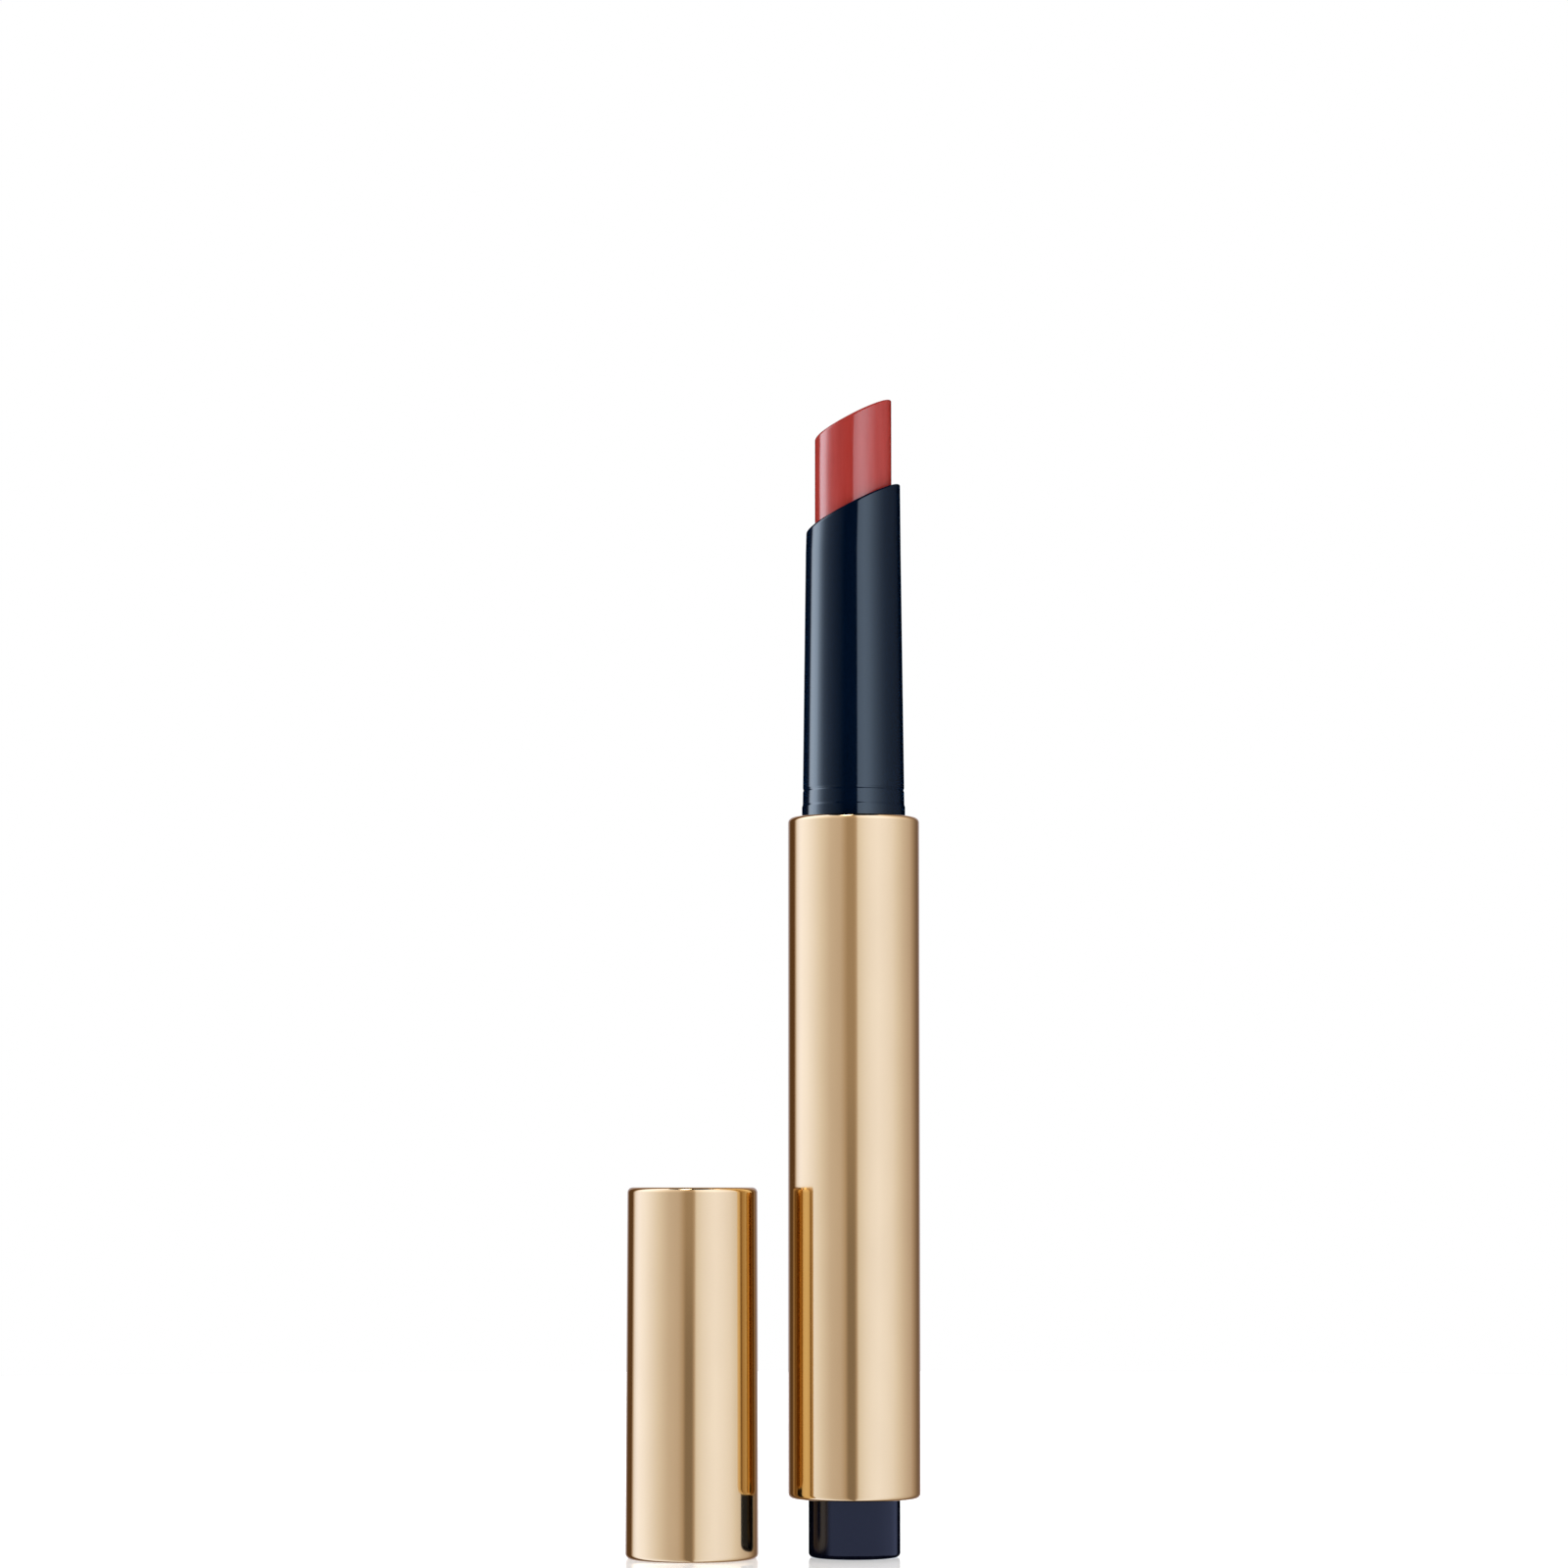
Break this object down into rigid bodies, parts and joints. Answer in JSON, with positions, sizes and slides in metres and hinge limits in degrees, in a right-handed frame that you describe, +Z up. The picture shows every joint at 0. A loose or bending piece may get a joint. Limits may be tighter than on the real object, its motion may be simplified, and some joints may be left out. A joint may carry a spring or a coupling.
{
  "type": "click-up lipstick pen",
  "caption": "Slim click-up lipstick pen on its push button, slanted bullet raised in a slanted nozzle, metal cap standing beside it.",
  "frame": {"origin": "centre of the push button's foot, on the pen's axis and on the surface that it stands on", "axes": "+Z up the pen to the bullet, +X sideways, from the cap's side to the pen's side and up the slope of the bullet's face, front of the pen towards -Y"},
  "size_m": [0.0311, 0.016, 0.1236],
  "materials": {
    "anodised_gold": "gold anodised, glossy",
    "natural_plastic": "moulded, satin",
    "navy_plastic": "high gloss",
    "spring_steel": "bright",
    "orange_acetal": "moulded, satin",
    "red_acetal": "moulded, satin",
    "lip_colour": "soft waxy sheen"
  },
  "bodies": {
    "barrel": {"barrel_shell": "anodised_gold", "barrel_liner": "natural_plastic", "nozzle": "navy_plastic", "mechanism_housing": "natural_plastic", "end_bush": "navy_plastic", "lower_cam_ring": "natural_plastic", "upper_cam_ring": "natural_plastic", "bearing_plate": "natural_plastic", "thrust_washer": "spring_steel", "screw_retainer": "natural_plastic"},
    "button": {"push_button": "navy_plastic", "button_plunger": "natural_plastic", "spring_washer": "spring_steel", "return_spring": "spring_steel"},
    "rotor": {"ratchet_rotor": "orange_acetal"},
    "screw": {"drive_screw": "spring_steel"},
    "carrier": {"carrier_nut": "red_acetal", "push_tube": "natural_plastic", "bullet_cup": "natural_plastic", "bullet": "lip_colour"},
    "cap": {"cap_shell": "anodised_gold", "cap_liner": "natural_plastic"}
  },
  "joints": [
    {"name": "button_press", "type": "slide", "parent": "barrel", "child": "button", "axis": [0, 0, 1], "range_m": [0, 0.002], "stiffness_N_per_m": 700, "springref_m": -0.003, "deforming": ["return_spring"]},
    {"name": "carrier_slide", "type": "slide", "parent": "barrel", "child": "carrier", "axis": [0, 0, 1], "range_m": [-0.01, 0.02]},
    {"name": "screw_turn", "type": "hinge", "parent": "barrel", "child": "screw", "pos_m": [0, 0, 0.03], "axis": [0, 0, 1], "range_deg": [-1441, 721]},
    {"name": "rotor_turn", "type": "hinge", "parent": "button", "child": "rotor", "pos_m": [0, 0, 0.02], "axis": [0, 0, 1], "range_deg": [-1441, 721]},
    {"name": "cap_lift", "type": "slide", "parent": "barrel", "child": "cap", "axis": [0, 0, 1], "range_m": [0, 0.116]}
  ],
  "couplings": [
    {"joint": "screw_turn", "follows": "carrier_slide", "rad_per_m": -1256.6},
    {"joint": "rotor_turn", "follows": "carrier_slide", "rad_per_m": -1256.6}
  ]
}
